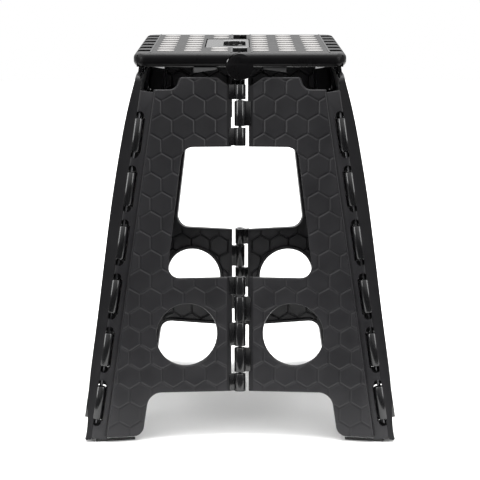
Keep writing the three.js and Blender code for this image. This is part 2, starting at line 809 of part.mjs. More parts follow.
function addPlatform() {
  addMesh("platform_right", geometryOf(platform(false)), "body");
  addMesh("platform_left", flipped(geometryOf(platform(true)), -1, 1), "body");
  addMesh("grip_insert_right", geometryOf(gripInsert(false)), "grip");
  addMesh("grip_insert_left", flipped(geometryOf(gripInsert(true)), -1, 1), "grip");
  addMesh("carry_handle", geometryOf(handle()), "handle");
  const axisZ = HEIGHT - HANDLE_THICK / 2 - 0.2;
  const inner = HANDLE_HALF - 7;
  const outer = HANDLE_HALF + 7;
  const pin = geometryOf(rodY(HANDLE_AXIS_X, axisZ, inner, outer, HANDLE_PIN_RADIUS, 6));
  addMesh("handle_pin_rear", pin, "steel");
  addMesh("handle_pin_front", flipped(pin, 1, -1), "steel");
  const hingePin = geometryOf(rodY(0, PLATFORM_AXIS_Z, 46, 133, PIN_RADIUS, 6));
  addMesh("platform_pin_rear", hingePin, "steel");
  addMesh("platform_pin_front", flipped(hingePin, 1, -1), "steel");
  const edge = PLATFORM_DEPTH / 2;
  const outerStop = geometryOf(stop(-edge + 2, -edge + 7));
  const innerStop = geometryOf(stop(-edge + 7.6, -edge + 12.6));
  addMesh("panel_stop_left_front", flipped(outerStop, -1, 1), "stop");
  addMesh("panel_stop_right_front", innerStop, "stop");
  addMesh("panel_stop_right_rear", flipped(outerStop, 1, -1), "stop");
  addMesh("panel_stop_left_rear", flipped(innerStop, -1, -1), "stop");
}

function addLegs() {
  const shell = geometryOf(leg());
  const pin = geometryOf(rodY(LEG_AXIS_X, LEG_AXIS_Z, -133, 133, PIN_RADIUS, 6));
  const pad = geometryOf(legPad());
  for (const [side, x] of [["right", 1], ["left", -1]]) {
    addMesh("leg_panel_" + side, flipped(shell, x, 1), "leg");
    addMesh("leg_pin_" + side, flipped(pin, x, 1), "steel");
    addMesh("leg_pad_" + side + "_front", flipped(pad, x, 1), "rubber");
    addMesh("leg_pad_" + side + "_rear", flipped(pad, x, -1), "rubber");
  }
}

function addPanels() {
  const near = geometryOf(panel("near"));
  const far = geometryOf(panel("far"));
  const pad = geometryOf(panelPad());
  const corner = geometryOf(cornerPin());
  const upper = geometryOf(centrePin(304.5, 360));
  const lower = geometryOf(centrePin(53, 166.4));
  const ends = [
    ["front", 1],
    ["rear", -1],
  ];
  for (const [end, turn] of ends) {
    const nearSide = end === "front" ? "left" : "right";
    const farSide = end === "front" ? "right" : "left";
    addMesh(end + "_panel_" + nearSide, flipped(near, -turn, turn), "body");
    addMesh(end + "_panel_" + farSide, flipped(far, turn, turn), "body");
    addMesh(end + "_centre_pin_upper", flipped(upper, 1, turn), "steel");
    addMesh(end + "_centre_pin_lower", flipped(lower, 1, turn), "steel");
    for (const [side, x] of [["right", 1], ["left", -1]]) {
      addMesh("panel_pad_" + side + "_" + end, flipped(pad, x, turn), "rubber");
      addMesh("corner_pin_" + side + "_" + end, flipped(corner, x, turn), "steel");
    }
  }
}

addPlatform();
addLegs();
addPanels();

export default root;
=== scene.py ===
"""Folding step stool: the visible surfaces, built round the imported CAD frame.

Lengths are written in millimetres and turned into metres where a mesh is made. The right front panel
and the right leg are built once, and their mirror images make the others.
"""
import json
import math

import bmesh
import bpy
from mathutils import Matrix, Vector, geometry

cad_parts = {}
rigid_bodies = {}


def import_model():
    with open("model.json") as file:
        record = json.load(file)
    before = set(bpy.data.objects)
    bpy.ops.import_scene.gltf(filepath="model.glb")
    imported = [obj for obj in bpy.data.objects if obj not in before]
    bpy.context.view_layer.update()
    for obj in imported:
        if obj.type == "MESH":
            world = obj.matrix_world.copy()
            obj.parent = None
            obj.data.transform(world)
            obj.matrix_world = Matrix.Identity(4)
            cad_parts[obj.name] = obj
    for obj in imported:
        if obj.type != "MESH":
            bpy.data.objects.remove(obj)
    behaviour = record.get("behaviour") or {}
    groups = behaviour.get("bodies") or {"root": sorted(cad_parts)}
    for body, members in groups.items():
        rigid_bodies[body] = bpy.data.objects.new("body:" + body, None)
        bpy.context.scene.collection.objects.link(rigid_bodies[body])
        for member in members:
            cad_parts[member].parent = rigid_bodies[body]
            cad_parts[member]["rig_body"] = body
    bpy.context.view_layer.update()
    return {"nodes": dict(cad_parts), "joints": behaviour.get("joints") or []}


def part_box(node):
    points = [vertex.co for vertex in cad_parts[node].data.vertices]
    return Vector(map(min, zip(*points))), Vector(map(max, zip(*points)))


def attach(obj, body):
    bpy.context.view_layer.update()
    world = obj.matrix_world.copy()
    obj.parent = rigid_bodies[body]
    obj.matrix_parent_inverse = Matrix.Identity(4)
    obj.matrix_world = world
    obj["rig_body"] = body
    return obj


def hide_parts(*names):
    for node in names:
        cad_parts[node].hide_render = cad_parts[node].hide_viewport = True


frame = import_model()

MM = 0.001
FAR = 600
RECORD_JOINTS = {joint["name"]: joint for joint in frame["joints"]}

# ------------------------------------------------------------------ driving dimensions (mm)

_, platform_high = (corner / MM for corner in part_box("platform_right"))
HEIGHT = platform_high.z
PLATFORM_HALF_WIDTH = platform_high.x
PLATFORM_HALF_DEPTH = platform_high.y
PLATFORM_THICK = 15
PLATFORM_CORNER = 14
BULLNOSE = 6
DECK_SKIN = 3
RIM_WALL = 4.5
CENTRE_VALLEY = 7.6
CENTRE_WALL = 3.4
RIM_END = 12
BOSS_RADIUS = 14
BOSS_SET_BACK = 0.3
SLOT_START, SLOT_END, SLOT_MOUTH = 93.6, 112, 5.2
DECK_RIBS = (-96, -48, 0, 48, 96)
RIB_HALF = 0.9
LINE_WIDTH, LINE_PROUD, LINE_HALF_LENGTH = 1.9, 0.55, 138
PIN_HALF_LENGTH = 134

corner_joint = RECORD_JOINTS["rear_right_corner"]
leg_joint = RECORD_JOINTS["right_leg_hinge"]
handle_joint = RECORD_JOINTS["handle_flip"]
centre_joint = RECORD_JOINTS["platform_centre"]
APEX_HEIGHT = 1051
FACE_PLAN_ANGLE = math.radians(12.4)
CENTRE_AXIS_Y_AT_FLOOR = 165
CENTRE_AXIS_SLOPE = 0.08

PANEL_SHOULDER = 363
PANEL_TAB_TOP = 375.6
WINDOW_TOP = 303.5
WINDOW_BOTTOM = 167.4
PANEL_BOTTOM = 47
PANEL_SKIN = 2.5
PANEL_FLANGE = 3
FOOT_Z = 3
SPY_HOLE = (56, 108, 32.5)
CORNER_STRIP = 11.5
CORNER_HALF_THICK = 4.6
CORNER_RADIUS = 5
LEG_CLEARANCE = 0.35
HINGE_BAND = 13.4
BAND_DEPTH = 2.3
FACE_DEPTH = 0.9
TILE_HEIGHT = 0.34
TILE_WIDTH = 23
TILE_MARGIN = 1.5
TILE_CENTRE = (48, 344.8)

KNUCKLE_TOP_Z = 317
KNUCKLE_PITCH = 55.3
KNUCKLE_COUNT = 6
KNUCKLE_LENGTH = 35
KNUCKLE_RADIUS = 4.8
KNUCKLE_SHOW = 5.7
KNUCKLE_PLAY = 1.3
ARCH_HALF = 4.5
ARCH_RISE = 5.5
PIN_RADIUS = 1.75
BARREL_RADIUS = 6
BARREL_SLIT = 8.8
PIVOT_PLAY = 2.7
RUNNING_GAP = 0.5
LEG_KNUCKLE_PITCH = 44
LEG_KNUCKLE_WIDTH = 20
LEG_KNUCKLE_RADIUS = 6
LEG_KNUCKLE_ROWS = [(i - 2.5) * LEG_KNUCKLE_PITCH for i in range(6)]

UPPER_BARRELS = [(351.5, 367, "near"), (324, 349.8, "far"), (303.5, 322.3, "near")]
LOWER_BARRELS = [
    (148.4, 167.4, "near"),
    (121, 146.7, "far"),
    (94.7, 119.3, "near"),
    (67.4, 93, "far"),
    (PANEL_BOTTOM, 65.7, "near"),
]

DOT_RADIUS = 9.2
DOT_COLUMNS = (21.5, 49.5, 77.5)
DOT_ROWS = 8
DOT_PITCH = 32
DOT_PROUD = 0.6

HANDLE_LEFT, HANDLE_RIGHT, HANDLE_HALF = -37, 10, 65
HANDLE_THICK = 4.6
HANDLE_BORE = 1.6
FINGER_LEFT, FINGER_RIGHT, FINGER_HALF = -18, 6, 42
HANDLE_AXIS_X = handle_joint["pos_m"][0] / MM
HANDLE_AXIS_Z = handle_joint["pos_m"][2] / MM

PAD_SHARE = 0.94
STOP_WEDGE = 3.6

LEG_TOP = 381
LEG_START = -6
LEG_INNER = 5.6
LEG_LIP = 2.4
LIP_START = 1.5
LEG_SKIN = 2.8
LEG_EDGE = 4.6
LEG_FLANGE = 9
LEG_RIBS = (66, 104, 142, 336)
LEG_FOOT_HALF = 136
LEG_WINDOW = [(-88, 182, 18), (88, 182, 18), (78, 296, 18), (-78, 296, 18)]
LEG_BULGE = [
    (9.4, LEG_START),
    (8.2, 15),
    (12.4, 62),
    (13.6, 140),
    (15.4, 240),
    (14.4, 308),
    (12.2, 348),
    (8.6, LEG_TOP),
]

# ------------------------------------------------------------------ outlines


def rounded(corners, steps=8):
    """Points round a closed outline of corners (x, y, radius)."""
    points = []
    count = len(corners)
    for i, (x, y, radius) in enumerate(corners):
        corner = Vector((x, y))
        if radius < 0.05:
            points.extend([corner] * (1 if radius == 0 else steps + 1))
            continue
        back = (Vector(corners[i - 1][:2]) - corner).normalized()
        ahead = (Vector(corners[(i + 1) % count][:2]) - corner).normalized()
        half = math.acos(max(-1.0, min(1.0, back.dot(ahead)))) / 2
        centre = corner + (back + ahead).normalized() * (radius / math.sin(half))
        start = corner + back * (radius / math.tan(half)) - centre
        end = corner + ahead * (radius / math.tan(half)) - centre
        begin = math.atan2(start.y, start.x)
        sweep = (math.atan2(end.y, end.x) - begin + math.pi) % (2 * math.pi) - math.pi
        for step in range(steps + 1):
            angle = begin + sweep * step / steps
            points.append(centre + Vector((math.cos(angle), math.sin(angle))) * radius)
    return points


def inset(corners, distance):
    """The outline with each edge moved to its left, which is inwards when it runs anticlockwise."""
    count = len(corners)
    edges = []
    for i, (x, y, _) in enumerate(corners):
        start, end = Vector((x, y)), Vector(corners[(i + 1) % count][:2])
        along = (end - start).normalized()
        edges.append((start + Vector((-along.y, along.x)) * distance, along))
    moved = []
    for i, (_, _, radius) in enumerate(corners):
        (a, da), (b, db) = edges[i - 1], edges[i]
        cross = da.x * db.y - da.y * db.x
        reach = ((b.x - a.x) * db.y - (b.y - a.y) * db.x) / cross
        inner = radius - distance if cross > 0 else radius + distance
        point = a + da * reach
        moved.append((point.x, point.y, 0 if radius == 0 else max(inner, 0.01)))
    return moved


def outline(corners, steps=8):
    """A loop as a function of how far it is moved into the material."""
    return lambda distance: rounded(inset(corners, distance), steps)


def circle(x, y, radius, steps=48, hole=False):
    """A round loop as a function of how far it is moved into the material."""
    sign = -1 if hole else 1
    turns = [sign * 2 * math.pi * i / steps for i in range(steps)]
    return lambda distance: [
        Vector((x, y)) + Vector((math.cos(a), math.sin(a))) * (radius - sign * distance) for a in turns
    ]


def rectangle(x0, x1, y0, y1, radius=0):
    return [(x0, y0, radius), (x1, y0, radius), (x1, y1, radius), (x0, y1, radius)]


# ------------------------------------------------------------------ solids


class Solid:
    """Vertices in millimetres and faces, joined from closed pieces."""

    def __init__(self, verts=(), faces=()):
        self.verts = [Vector(v) for v in verts]
        self.faces = [tuple(f) for f in faces]

    def add(self, other):
        start = len(self.verts)
        self.verts += other.verts
        self.faces += [tuple(i + start for i in f) for f in other.faces]
        return self

    def placed(self, matrix):
        flip = matrix.determinant() < 0
        faces = [tuple(reversed(f)) for f in self.faces] if flip else self.faces
        return Solid([matrix @ v for v in self.verts], faces)

    def mesh(self, name):
        made = bpy.data.meshes.new(name)
        made.from_pydata([v * MM for v in self.verts], [], self.faces)
        made.validate()
        return made


def welded(verts, faces):
    """One closed solid: vertices at the same place become one, and faces with no area left are dropped."""
    places, single, index = {}, [], []
    for vert in verts:
        key = tuple(round(c, 4) for c in vert)
        if key not in places:
            places[key] = len(single)
            single.append(vert)
        index.append(places[key])
    rings = []
    for face in faces:
        ring = [index[i] for i in face]
        ring = [a for a, b in zip(ring, ring[1:] + ring[:1]) if a != b]
        if len(ring) > 2:
            rings.append(ring)
    return Solid(single, rings)


def fill(loops):
    """Triangles that fill flat loops, the first of which is the outer one."""
    return geometry.tessellate_polygon([[Vector((p.x, p.y, 0)) for p in loop] for loop in loops])


def plate(loops, low, high, edge_low=0.0, edge_high=0.0, rounding=3):
    """A plate between two heights, which are numbers or functions of (x, y), with rounded edges."""
    low_at = low if callable(low) else lambda x, y: low
    high_at = high if callable(high) else lambda x, y: high
    rings = []
    for step in range(rounding + 1) if edge_low else (0,):
        angle = math.pi / 2 * step / rounding
        rings.append((edge_low * (1 - math.sin(angle)), low_at, edge_low * (1 - math.cos(angle))))
    for step in range(rounding + 1) if edge_high else (0,):
        angle = math.pi / 2 * step / rounding
        rings.append((edge_high * (1 - math.cos(angle)), high_at, -edge_high * (1 - math.sin(angle))))
    verts, faces, ring_starts = [], [], []
    layers = [[loop(distance) for loop in loops] for distance, _, _ in rings]
    for layer, (_, height, shift) in zip(layers, rings):
        ring_starts.append(len(verts))
        for loop in layer:
            verts += [Vector((p.x, p.y, height(p.x, p.y) + shift)) for p in loop]
    for lower, upper in zip(ring_starts, ring_starts[1:]):
        offset = 0
        for loop in layers[0]:
            count = len(loop)
            for i in range(count):
                a, b = offset + i, offset + (i + 1) % count
                faces.append((lower + a, lower + b, upper + b, upper + a))
            offset += count
    for start, layer, facing in ((ring_starts[0], layers[0], -1), (ring_starts[-1], layers[-1], 1)):
        triangles = fill(layer)
        flat = [p for loop in layer for p in loop]
        turns = sum((flat[b] - flat[a]).cross(flat[c] - flat[a]) for a, b, c in triangles)
        for a, b, c in triangles:
            face = (start + a, start + b, start + c)
            faces.append(face if turns * facing > 0 else face[::-1])
    return welded(verts, faces)


def block(x0, x1, y0, y1, z0, z1, radius=0.0, edge=0.0):
    return plate([outline(rectangle(x0, x1, y0, y1, radius), 4)], z0, z1, edge, edge, 2)


def rod(low, high, radius, edge=0.3, steps=24):
    """A round bar up Z from low to high."""
    return plate([circle(0, 0, radius, steps)], low, high, edge, edge, 2)


def axis_frame(point, up, towards):
    """Z up a hinge axis at a point, and X as near as can be to a direction."""
    x = (towards - up * towards.dot(up)).normalized()
    y = up.cross(x)
    made = Matrix((x, y, up)).transposed().to_4x4()
    made.translation = point
    return made


UP, RIGHT, BACK = Vector((0, 0, 1)), Vector((1, 0, 0)), Vector((0, 1, 0))
ALONG_Y = Matrix(((1, 0, 0, 0), (0, 0, 1, 0), (0, -1, 0, 0), (0, 0, 0, 1)))


def rod_y(x, z, y0, y1, radius, edge=0.3, steps=24):
    """A round bar along Y."""
    return rod(y0, y1, radius, edge, steps).placed(Matrix.Translation((x, 0, z)) @ ALONG_Y)


def combined(target, cutters, operation):
    """A solid cut by, joined to or kept within others, each of which is closed."""
    scene = bpy.context.scene.collection
    base = bpy.data.objects.new("base", target.mesh("base"))
    scene.objects.link(base)
    tools = []
    for cutter in cutters:
        tool = bpy.data.objects.new("tool", cutter.mesh("tool"))
        scene.objects.link(tool)
        modifier = base.modifiers.new("combine", "BOOLEAN")
        modifier.object = tool
        modifier.operation = operation
        modifier.solver = "MANIFOLD"
        tools.append(tool)
    bpy.context.view_layer.update()
    result = bpy.data.meshes.new_from_object(base.evaluated_get(bpy.context.evaluated_depsgraph_get()))
    solid = Solid([v.co / MM for v in result.vertices], [p.vertices[:] for p in result.polygons])
    bpy.data.meshes.remove(result)
    for made in [base, *tools]:
        data = made.data
        bpy.data.objects.remove(made)
        bpy.data.meshes.remove(data)
    return solid


def cut(target, *cutters):
    return combined(target, cutters, "DIFFERENCE")


def union(target, *others):
    return combined(target, others, "UNION")


def kept(target, *others):
    return combined(target, others, "INTERSECT")


def piece(name, solid, body, material, stands_for=None, bevel=0.0, smooth=32):
    """Adds a solid as a visible piece that stands for a CAD node and moves with its body."""
    mesh = solid.mesh(name)
    made = bpy.data.objects.new(name + "_skin", mesh)
    bpy.context.scene.collection.objects.link(made)
    mesh.shade_smooth()
    mesh.set_sharp_from_angle(angle=math.radians(smooth))
    if bevel:
        modifier = made.modifiers.new("soft edges", "BEVEL")
        modifier.width = bevel * MM
        modifier.segments = 2
        modifier.limit_method = "ANGLE"
        modifier.angle_limit = math.radians(38)
        modifier.harden_normals = True
    made.data.materials.append(material)
    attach(made, body)
    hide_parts(stands_for or name)
    return made


# ------------------------------------------------------------------ materials


def plastic(name, colour, roughness, grain, mottle=0.12, coat=0.0, shine=0.5):
    """Moulded plastic with a fine grain, uneven gloss, faint flow marks and paler rubbed edges."""
    material = bpy.data.materials.new(name)
    material.use_nodes = True
    nodes, links = material.node_tree.nodes, material.node_tree.links
    shader = nodes["Principled BSDF"]
    shader.inputs["Coat Weight"].default_value = coat
    shader.inputs["Coat Roughness"].default_value = 0.2
    shader.inputs["Specular IOR Level"].default_value = shine
    place = nodes.new("ShaderNodeTexCoord")

    cloud = nodes.new("ShaderNodeTexNoise")
    cloud.inputs["Scale"].default_value = 14
    cloud.inputs["Detail"].default_value = 5
    links.new(place.outputs["Object"], cloud.inputs["Vector"])
    tint = nodes.new("ShaderNodeValToRGB")
    tint.color_ramp.elements[0].position = 0.3
    tint.color_ramp.elements[1].position = 0.72
    tint.color_ramp.elements[0].color = (*[c * (1 - mottle) for c in colour], 1)
    tint.color_ramp.elements[1].color = (*[c * (1 + mottle) for c in colour], 1)
    links.new(cloud.outputs["Fac"], tint.inputs["Fac"])

    worn = nodes.new("ShaderNodeNewGeometry")
    edge = nodes.new("ShaderNodeMapRange")
    edge.inputs["From Min"].default_value = 0.54
    edge.inputs["From Max"].default_value = 0.7
    edge.inputs["To Max"].default_value = 0.35
    links.new(worn.outputs["Pointiness"], edge.inputs["Value"])
    rub = nodes.new("ShaderNodeMix")
    rub.data_type = "RGBA"
    rub.inputs["B"].default_value = (*[min(1, c * 2.2 + 0.02) for c in colour], 1)
    links.new(edge.outputs["Result"], rub.inputs["Factor"])
    links.new(tint.outputs["Color"], rub.inputs["A"])
    links.new(rub.outputs["Result"], shader.inputs["Base Color"])

    patches = nodes.new("ShaderNodeTexNoise")
    patches.inputs["Scale"].default_value = 55
    patches.inputs["Detail"].default_value = 6
    links.new(place.outputs["Object"], patches.inputs["Vector"])
    gloss = nodes.new("ShaderNodeMapRange")
    gloss.inputs["From Min"].default_value = 0.3
    gloss.inputs["From Max"].default_value = 0.7
    gloss.inputs["To Min"].default_value = roughness - 0.05
    gloss.inputs["To Max"].default_value = roughness + 0.06
    links.new(patches.outputs["Fac"], gloss.inputs["Value"])
    links.new(gloss.outputs["Result"], shader.inputs["Roughness"])

    speck = nodes.new("ShaderNodeTexNoise")
    speck.inputs["Scale"].default_value = 2600
    speck.inputs["Detail"].default_value = 2
    links.new(place.outputs["Object"], speck.inputs["Vector"])
    fine = nodes.new("ShaderNodeBump")
    fine.inputs["Strength"].default_value = grain
    fine.inputs["Distance"].default_value = 0.00012
    links.new(speck.outputs["Fac"], fine.inputs["Height"])
    wave = nodes.new("ShaderNodeBump")
    wave.inputs["Strength"].default_value = 0.25
    wave.inputs["Distance"].default_value = 0.0006
    links.new(cloud.outputs["Fac"], wave.inputs["Height"])
    links.new(fine.outputs["Normal"], wave.inputs["Normal"])
    links.new(wave.outputs["Normal"], shader.inputs["Normal"])
    return material


def shade_darkened_steel():
    """Plain wire with fine scratches along it, coloured near black as painted shade for the pins deep in
    their recesses.
    """
    material = bpy.data.materials.new("steel darkened with painted shade")
    material.use_nodes = True
    nodes, links = material.node_tree.nodes, material.node_tree.links
    shader = nodes["Principled BSDF"]
    shader.inputs["Metallic"].default_value = 1.0
    place = nodes.new("ShaderNodeTexCoord")
    noise = nodes.new("ShaderNodeTexNoise")
    noise.inputs["Scale"].default_value = 400
    noise.inputs["Detail"].default_value = 6
    links.new(place.outputs["Object"], noise.inputs["Vector"])
    tint = nodes.new("ShaderNodeValToRGB")
    # Painted shade: the steel's colour is kept near black, far darker than bare steel, so the pins look as
    # dark as they do in their shaded recesses.
    tint.color_ramp.elements[0].color = (0.05, 0.05, 0.052, 1)
    tint.color_ramp.elements[1].color = (0.10, 0.10, 0.104, 1)
    links.new(noise.outputs["Fac"], tint.inputs["Fac"])
    links.new(tint.outputs["Color"], shader.inputs["Base Color"])
    gloss = nodes.new("ShaderNodeMapRange")
    gloss.inputs["To Min"].default_value = 0.24
    gloss.inputs["To Max"].default_value = 0.42
    links.new(noise.outputs["Fac"], gloss.inputs["Value"])
    links.new(gloss.outputs["Result"], shader.inputs["Roughness"])
    return material


SATIN = plastic("satin black plastic", (0.0140, 0.0136, 0.0152), 0.36, 0.35, shine=0.36)
INNER = plastic("leg plastic", (0.0085, 0.0083, 0.0092), 0.46, 0.35, shine=0.2)
DECK = plastic("deck plastic", (0.0042, 0.0040, 0.0044), 0.30, 0.20, shine=0.14)
GLOSSY = plastic("polished black plastic", (0.006, 0.006, 0.0066), 0.15, 0.08, shine=0.62)
HANDLE = plastic("handle plastic", (0.011, 0.011, 0.0115), 0.20, 0.05, coat=0.9, shine=0.6)
GRIP = plastic("pale grip rubber", (0.20, 0.194, 0.189), 0.72, 0.5, mottle=0.06)
STOP = plastic("grey stop rubber", (0.055, 0.055, 0.056), 0.6, 0.4, mottle=0.08)
RUBBER = plastic("black rubber", (0.008, 0.008, 0.008), 0.6, 0.6)
SHADE_DARKENED_STEEL = shade_darkened_steel()

# ------------------------------------------------------------------ hinge axes and frames (mm, right front)

apex = Vector((0, CENTRE_AXIS_SLOPE * APEX_HEIGHT - CENTRE_AXIS_Y_AT_FLOOR, APEX_HEIGHT))
centre_floor = Vector((0, -CENTRE_AXIS_Y_AT_FLOOR, 0))


def corner_axis_at_floor():
    """Where the right front corner's hinge axis meets the floor, from the rear one's joint."""
    x, y, z = (value / MM for value in corner_joint["pos_m"])
    share = z / APEX_HEIGHT
    return Vector((x / (1 - share), (-y - apex.y * share) / (1 - share), 0))


corner_floor = corner_axis_at_floor()
centre_up = (apex - centre_floor).normalized()
corner_up = (apex - corner_floor).normalized()


def at_height(floor_point, z):
    return floor_point.lerp(apex, z / APEX_HEIGHT)


face_plan = Vector((math.cos(FACE_PLAN_ANGLE), -math.sin(FACE_PLAN_ANGLE), 0))
face_out = face_plan.cross(centre_up).normalized()
face_along = centre_up.cross(face_out)
panel_frame = Matrix((face_along, centre_up, face_out)).transposed().to_4x4()
panel_frame.translation = centre_floor
to_panel = panel_frame.inverted()
corner_in_panel = to_panel @ corner_floor
apex_in_panel = to_panel @ apex
CORNER_TAPER = (apex_in_panel.x - corner_in_panel.x) / (apex_in_panel.y - corner_in_panel.y)


def corner_at(t):
    """Distance s of the corner hinge axis from the centre one at height t."""
    return corner_in_panel.x + (t - corner_in_panel.y) * CORNER_TAPER


leg_tilt = math.atan2(corner_floor.x, APEX_HEIGHT)
leg_out = Vector((math.cos(leg_tilt), 0, math.sin(leg_tilt)))
leg_up = Vector((-math.sin(leg_tilt), 0, math.cos(leg_tilt)))
leg_base = Vector((corner_floor.x, 0, 0))


def frame_of(x, y, z, origin):
    made = Matrix((x, y, z)).transposed().to_4x4()
    made.translation = origin
    return made


leg_frame = frame_of(leg_out, BACK, leg_up, leg_base)
leg_face = frame_of(BACK, leg_up, leg_out, leg_base)
leg_side = frame_of(leg_out, leg_up, -BACK, leg_base)
leg_axis = Vector(leg_joint["pos_m"]) / MM
leg_axis_in_leg = leg_frame.inverted() @ leg_axis


def leg_half_depth(u):
    share = u * math.cos(leg_tilt) / APEX_HEIGHT
    return -corner_floor.y * (1 - share) - apex.y * share


KNUCKLE_HEIGHTS = [KNUCKLE_TOP_Z - i * KNUCKLE_PITCH for i in range(KNUCKLE_COUNT)]
MIRRORS = {
    ("right", "front"): Matrix.Identity(4),
    ("left", "front"): Matrix.Diagonal((-1, 1, 1, 1)),
    ("right", "rear"): Matrix.Diagonal((1, -1, 1, 1)),
    ("left", "rear"): Matrix.Diagonal((-1, -1, 1, 1)),
}

# ------------------------------------------------------------------ front and rear panels


def hexagon(centre, apothem):
    side = apothem / math.cos(math.pi / 6)
    turns = [math.pi / 6 + math.pi / 3 * i for i in range(6)]
    return [centre + Vector((math.cos(a), math.sin(a))) * side for a in turns]


def inside(point, loops):
    """Whether a point lies within the first loop and outside the others."""
    hits = 0
    for loop in loops:
        for a, b in zip(loop, loop[1:] + loop[:1]):
            if (a.y > point.y) != (b.y > point.y):
                if point.x < a.x + (point.y - a.y) / (b.y - a.y) * (b.x - a.x):
                    hits += 1
    return hits % 2 == 1


def tile_centres(low, high):
    rows = range(-20, 8)
    pitch = TILE_WIDTH * math.sqrt(3) / 2
    for row in rows:
        y = TILE_CENTRE[1] + row * pitch
        if not low.y - TILE_WIDTH < y < high.y + TILE_WIDTH:
            continue
        shift = TILE_WIDTH / 2 if row % 2 else 0
        for column in range(-4, 8):
            x = TILE_CENTRE[0] + shift + column * TILE_WIDTH
            if low.x - TILE_WIDTH < x < high.x + TILE_WIDTH:
                yield Vector((x, y))


def tiles(loops, base, height, sink, groove, ramp):
    """A thin sheet of raised hexagons that fills flat loops. base is a function of (x, y), height is
    signed, and sink is how far the sheet's back lies under its front."""
    points = [p for loop in loops for p in loop]
    low = Vector((min(p.x for p in points), min(p.y for p in points)))
    high = Vector((max(p.x for p in points), max(p.y for p in points)))
    verts, edges = [], []

    def add_loop(loop):
        start = len(verts)
        verts.extend(loop)
        edges.extend((start + i, start + (i + 1) % len(loop)) for i in range(len(loop)))

    for loop in loops:
        add_loop(loop)
    centres = list(tile_centres(low, high))
    half = TILE_WIDTH / 2
    for centre in centres:
        outer, inner = hexagon(centre, half - groove), hexagon(centre, half - groove - ramp)
        add_loop(outer)
        add_loop(inner)
        start = len(verts) - 12
        edges.extend((start + i, start + 6 + i) for i in range(6))
    out_verts, _, out_faces, _, _, _ = geometry.delaunay_2d_cdt(verts, edges, [], 0, 1e-5)
    normals = [Vector((math.cos(math.pi / 3 * k), math.sin(math.pi / 3 * k))) for k in range(6)]

    def lift(p):
        centre = min(centres, key=lambda c: (c - p).length_squared)
        margin = half - max((p - centre).dot(n) for n in normals)
        return height * max(0.0, min(1.0, (margin - groove) / ramp))

    kept_faces = []
    for face in out_faces:
        middle = sum((out_verts[i] for i in face), Vector((0, 0))) / len(face)
        if inside(middle, loops):
            a, b, c = (out_verts[i] for i in face)
            turned = (b - a).cross(c - a) < 0
            kept_faces.append(tuple(reversed(face)) if turned else tuple(face))
    used = sorted({i for face in kept_faces for i in face})
    place = {i: k for k, i in enumerate(used)}
    count = len(used)
    sign = 1 if height > 0 else -1
    flat = [out_verts[i] for i in used]
    tops = [Vector((v.x, v.y, base(*v) + lift(v))) for v in flat]
    backs = [Vector((v.x, v.y, base(*v) - sign * sink)) for v in flat]
    faces = [tuple(place[i] for i in face) for face in kept_faces]
    rims = {}
    for face in faces:
        for a, b in zip(face, face[1:] + face[:1]):
            if rims.pop((b, a), None) is None:
                rims[(a, b)] = True
    made = list(faces) + [tuple(count + i for i in reversed(face)) for face in faces]
    made += [(b, a, count + a, count + b) for a, b in rims]
    if sign < 0:
        made = [tuple(reversed(face)) for face in made]
    return Solid(tops + backs, made)


def panel_corners(edge=BARREL_SLIT):
    """The panel from its centre edge to the step beside its hinge strip, anticlockwise in (s, t)."""
    step = CORNER_STRIP - 0.2
    foot = (FOOT_Z - centre_floor.z) / centre_up.z
    return [
        (edge, PANEL_BOTTOM, 1),
        (96.5, PANEL_BOTTOM + 1.2, 15),
        (103.5, foot, 11),
        (corner_at(foot) - step, foot, 0.6),
        (corner_at(PANEL_SHOULDER) - step, PANEL_SHOULDER, 1.2),
        (66.5, PANEL_SHOULDER, 10),
        (62.4, PANEL_TAB_TOP, 2.5),
        (24, PANEL_TAB_TOP, 5),
        (edge + 3, 367, 3),
        (edge, 366, 0.6),
        (edge, WINDOW_TOP, 0.6),
        (60.5, WINDOW_TOP, 13),
        (77.2, WINDOW_BOTTOM, 13),
        (edge, WINDOW_BOTTOM, 0.6),
    ]


def back_depth(s, t):
    return -6 - 0.03 * s


def corner_strip():
    """The bar along the corner hinge, cut away round the leg's knuckles."""
    foot = at_height(corner_floor, FOOT_Z + 0.4)
    top = at_height(corner_floor, PANEL_SHOULDER - 1.2)
    length = (top - foot).length
    half = CORNER_HALF_THICK
    inner, nose = -CORNER_STRIP - 1.5, CORNER_RADIUS
    section = [(inner, -half, 0), (nose, -half, half - 0.1), (nose, half, half - 0.1), (inner, half, 0)]
    bar_frame = axis_frame(foot, corner_up, face_along)
    bar = plate([outline(section, 8)], 0, length, 0.7, 0.7).placed(bar_frame)
    cutters = []
    notch_half = KNUCKLE_LENGTH / 2 + KNUCKLE_PLAY
    reach = -KNUCKLE_SHOW - RUNNING_GAP
    notch = [(reach, -notch_half, 1), (30, -notch_half, 0), (30, notch_half, 0), (reach, notch_half, 1)]
    arch_half = notch_half + ARCH_RISE
    arch = rectangle(-ARCH_HALF, ARCH_HALF, -arch_half, arch_half, ARCH_HALF - 0.2)
    for z in KNUCKLE_HEIGHTS:
        hinge = axis_frame(at_height(corner_floor, z), corner_up, face_along)
        upright = hinge @ Matrix.Rotation(math.pi / 2, 4, "X")
        cutters.append(plate([outline(notch, 5)], -30, 30).placed(upright))
        cutters.append(plate([outline(arch, 5)], -PIN_RADIUS - 0.9, 30).placed(upright))
    bore_length = (at_height(corner_floor, 341) - at_height(corner_floor, 18)).length
    bore = rod(0, bore_length, PIN_RADIUS + RUNNING_GAP, 0, 12).placed(
        axis_frame(at_height(corner_floor, 18), corner_up, face_along))
    return cut(bar, bore, *cutters)


def barrel_arm(start, length):
    """The arm that joins a barrel to the edge of its panel."""
    return block(start, BARREL_SLIT + 2.2, 0.7, 5.4, 0.3, length - 0.3, 0.4, 0.4)


